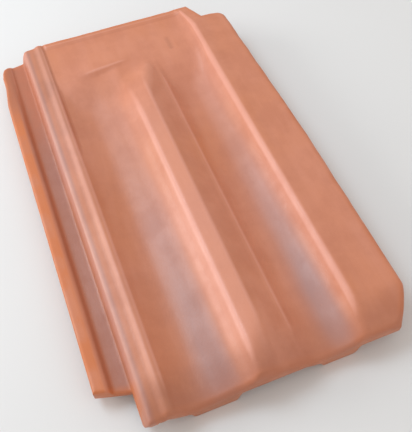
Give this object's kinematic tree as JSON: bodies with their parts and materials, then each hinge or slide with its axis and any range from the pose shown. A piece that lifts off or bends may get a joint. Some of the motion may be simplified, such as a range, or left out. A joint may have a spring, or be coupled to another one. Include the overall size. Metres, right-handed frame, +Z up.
{
  "type": "interlocking roof tile",
  "caption": "Fired clay interlocking roof tile with two water channels, a central roll, a side water lock, an overlapping edge, a head seat, and batten lugs.",
  "frame": {"origin": "centre of the tile's bounding box on the floor it lies on", "axes": "+Y along the tile from the foot to the head (the top end on the roof), +Z up out of the weather face, +X across to the overlock side; the water lock is at -X"},
  "size_m": [0.25, 0.41, 0.038],
  "materials": {
    "clay": "matte"
  },
  "bodies": {
    "root": {"roof_tile": "clay"}
  },
  "joints": []
}
